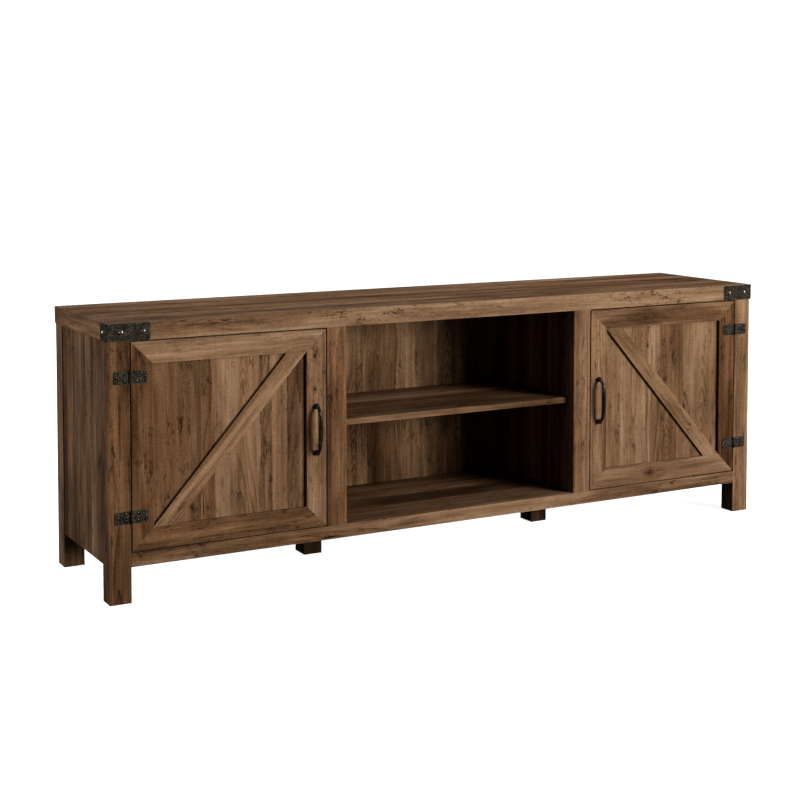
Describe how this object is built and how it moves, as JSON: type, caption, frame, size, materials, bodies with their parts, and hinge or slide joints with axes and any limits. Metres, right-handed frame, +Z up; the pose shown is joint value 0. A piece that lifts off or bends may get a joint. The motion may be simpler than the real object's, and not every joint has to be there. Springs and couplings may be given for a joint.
{
  "type": "tv stand with doors",
  "caption": "Long low farmhouse television stand in rustic oak laminate: a thick top, an open bay with a shelf, and a braced and framed door on surface hinges at each end.",
  "frame": {"origin": "on the floor, under the centre of the whole object's box, handles included", "axes": "+X to the right seen from the front, along the length; +Y from the doors to the back; +Z up"},
  "size_m": [1.7888, 0.4116, 0.6096],
  "materials": {
    "rustic_oak": "matt rustic oak laminate on particle board and fibreboard",
    "beech": "bare beech dowel",
    "plywood": "bare plywood key",
    "black_iron": "textured charcoal powder coat on steel",
    "dark_bronze": "satin oil-rubbed bronze",
    "zinc_steel": "bright zinc plate",
    "catch_plastic": "moulded brown plastic"
  },
  "bodies": {
    "cabinet": {"back_panel_nails": "zinc_steel", "back_rail": "rustic_oak", "bottom_panel": "rustic_oak", "cam_bolts": "zinc_steel", "cam_locks": "zinc_steel", "carcass_screws": "zinc_steel", "center_back_panel": "rustic_oak", "center_shelf": "rustic_oak", "corner_bracket_rivets": "black_iron", "dowels": "beech", "foot_bolts": "zinc_steel", "frame_screws": "black_iron", "front_rail": "rustic_oak", "hinge_frame_leaves": "black_iron", "hinge_pins": "black_iron", "left_back_leg": "rustic_oak", "left_back_panel": "rustic_oak", "left_center_foot": "rustic_oak", "left_corner_bracket": "black_iron", "left_face_post": "rustic_oak", "left_front_leg": "rustic_oak", "left_partition": "rustic_oak", "left_shelf": "rustic_oak", "left_side_panel": "rustic_oak", "magnet_catches": "catch_plastic", "right_back_leg": "rustic_oak", "right_back_panel": "rustic_oak", "right_center_foot": "rustic_oak", "right_corner_bracket": "black_iron", "right_face_post": "rustic_oak", "right_front_leg": "rustic_oak", "right_partition": "rustic_oak", "right_shelf": "rustic_oak", "right_side_panel": "rustic_oak", "shelf_pins": "zinc_steel", "top_panel": "rustic_oak"},
    "left_door": {"left_door_bottom_rail": "rustic_oak", "left_door_brace": "rustic_oak", "left_door_corner_splines": "plywood", "left_door_handle": "dark_bronze", "left_door_handle_screws": "zinc_steel", "left_door_handle_stile": "rustic_oak", "left_door_hinge_leaves": "black_iron", "left_door_hinge_stile": "rustic_oak", "left_door_panel": "rustic_oak", "left_door_screws": "black_iron", "left_door_strike_plate": "zinc_steel", "left_door_top_rail": "rustic_oak"},
    "right_door": {"right_door_bottom_rail": "rustic_oak", "right_door_brace": "rustic_oak", "right_door_corner_splines": "plywood", "right_door_handle": "dark_bronze", "right_door_handle_screws": "zinc_steel", "right_door_handle_stile": "rustic_oak", "right_door_hinge_leaves": "black_iron", "right_door_hinge_stile": "rustic_oak", "right_door_panel": "rustic_oak", "right_door_screws": "black_iron", "right_door_strike_plate": "zinc_steel", "right_door_top_rail": "rustic_oak"}
  },
  "joints": [
    {"name": "left_door_hinge", "type": "hinge", "parent": "cabinet", "child": "left_door", "pos_m": [-0.836, -0.18125, 0.33975], "axis": [0, 0, -1], "range_deg": [0, 170]},
    {"name": "right_door_hinge", "type": "hinge", "parent": "cabinet", "child": "right_door", "pos_m": [0.836, -0.18125, 0.33975], "axis": [0, 0, 1], "range_deg": [0, 170]}
  ]
}
